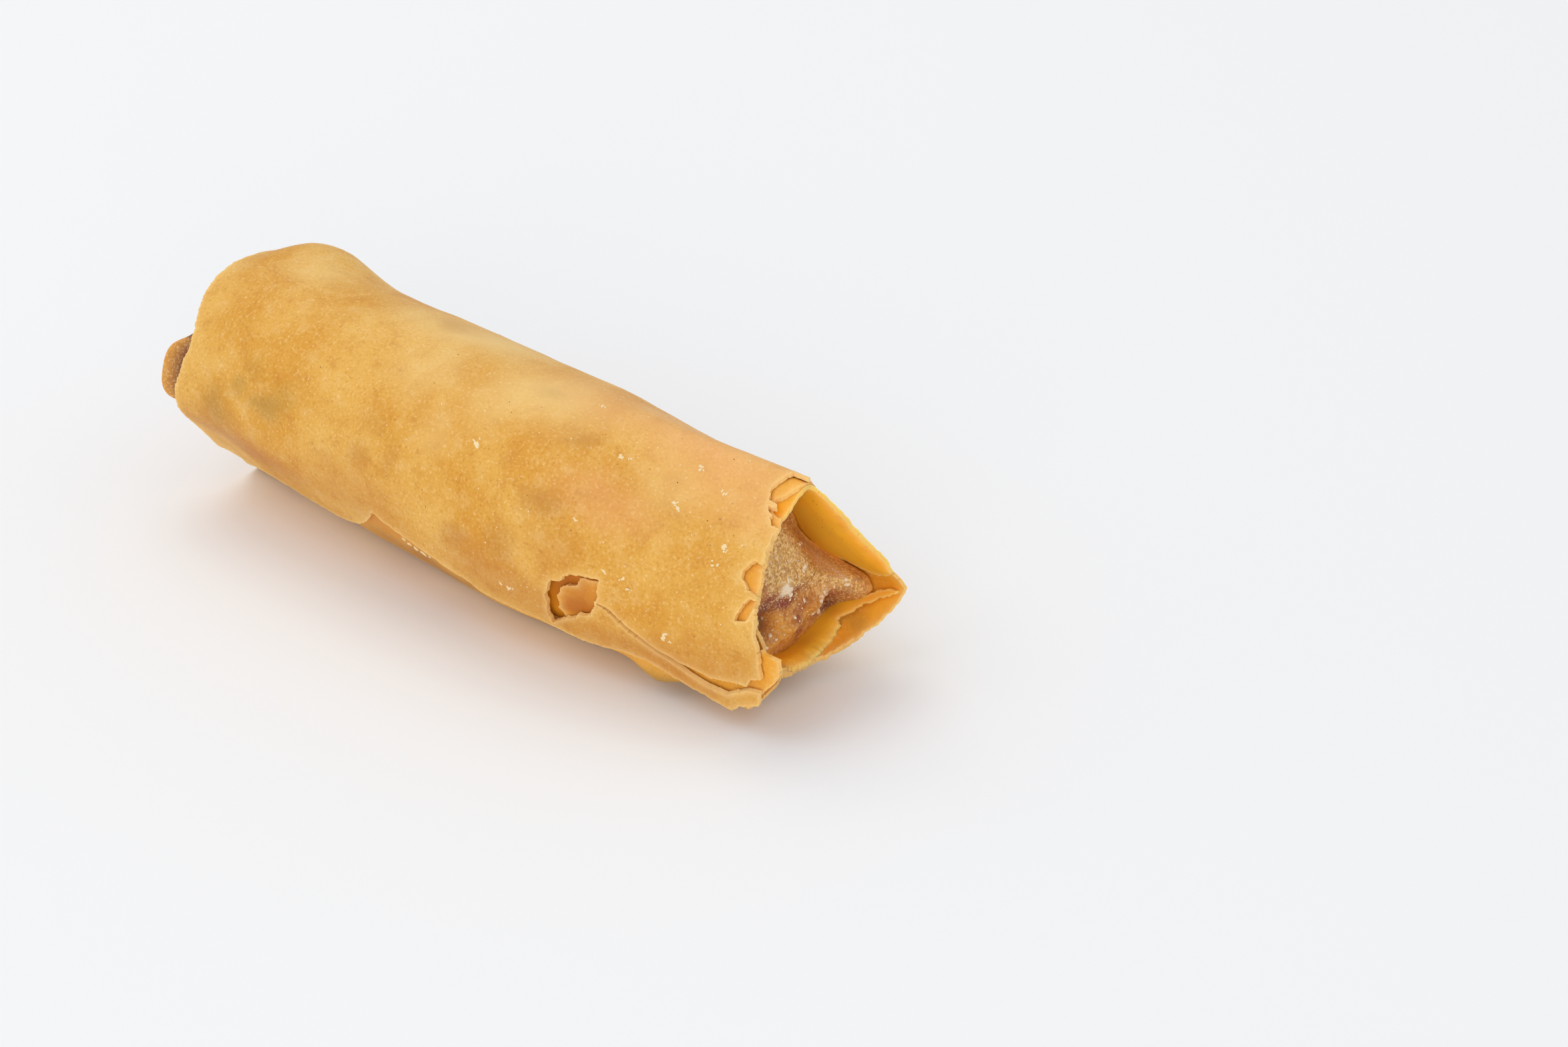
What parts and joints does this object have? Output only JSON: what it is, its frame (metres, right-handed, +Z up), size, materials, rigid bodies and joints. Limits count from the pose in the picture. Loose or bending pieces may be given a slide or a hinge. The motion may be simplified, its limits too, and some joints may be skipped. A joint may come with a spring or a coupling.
{
  "type": "fried spring roll",
  "caption": "Fried spring roll lying on its underside, with a thin wound wrapper, torn at its open triangular end, round a filled inner fold.",
  "frame": {"origin": "middle of the roll's length and width, on the surface that it lies on", "axes": "+X along the roll towards the open torn end, -Y towards the pictured front, +Z up"},
  "size_m": [0.0902, 0.0296, 0.0281],
  "materials": {
    "fried_wrapper": "thin wheat sheet, deep fried: pale golden orange, dry and slightly waxy, with paler and browner patches, fine pores and a dusting of flour specks",
    "filled_fold": "folded inner sheet stained by the filling: olive gold and red brown, grainy and matte, with white flour"
  },
  "bodies": {
    "root": {"wrapper": "fried_wrapper", "filling": "filled_fold"}
  },
  "joints": []
}
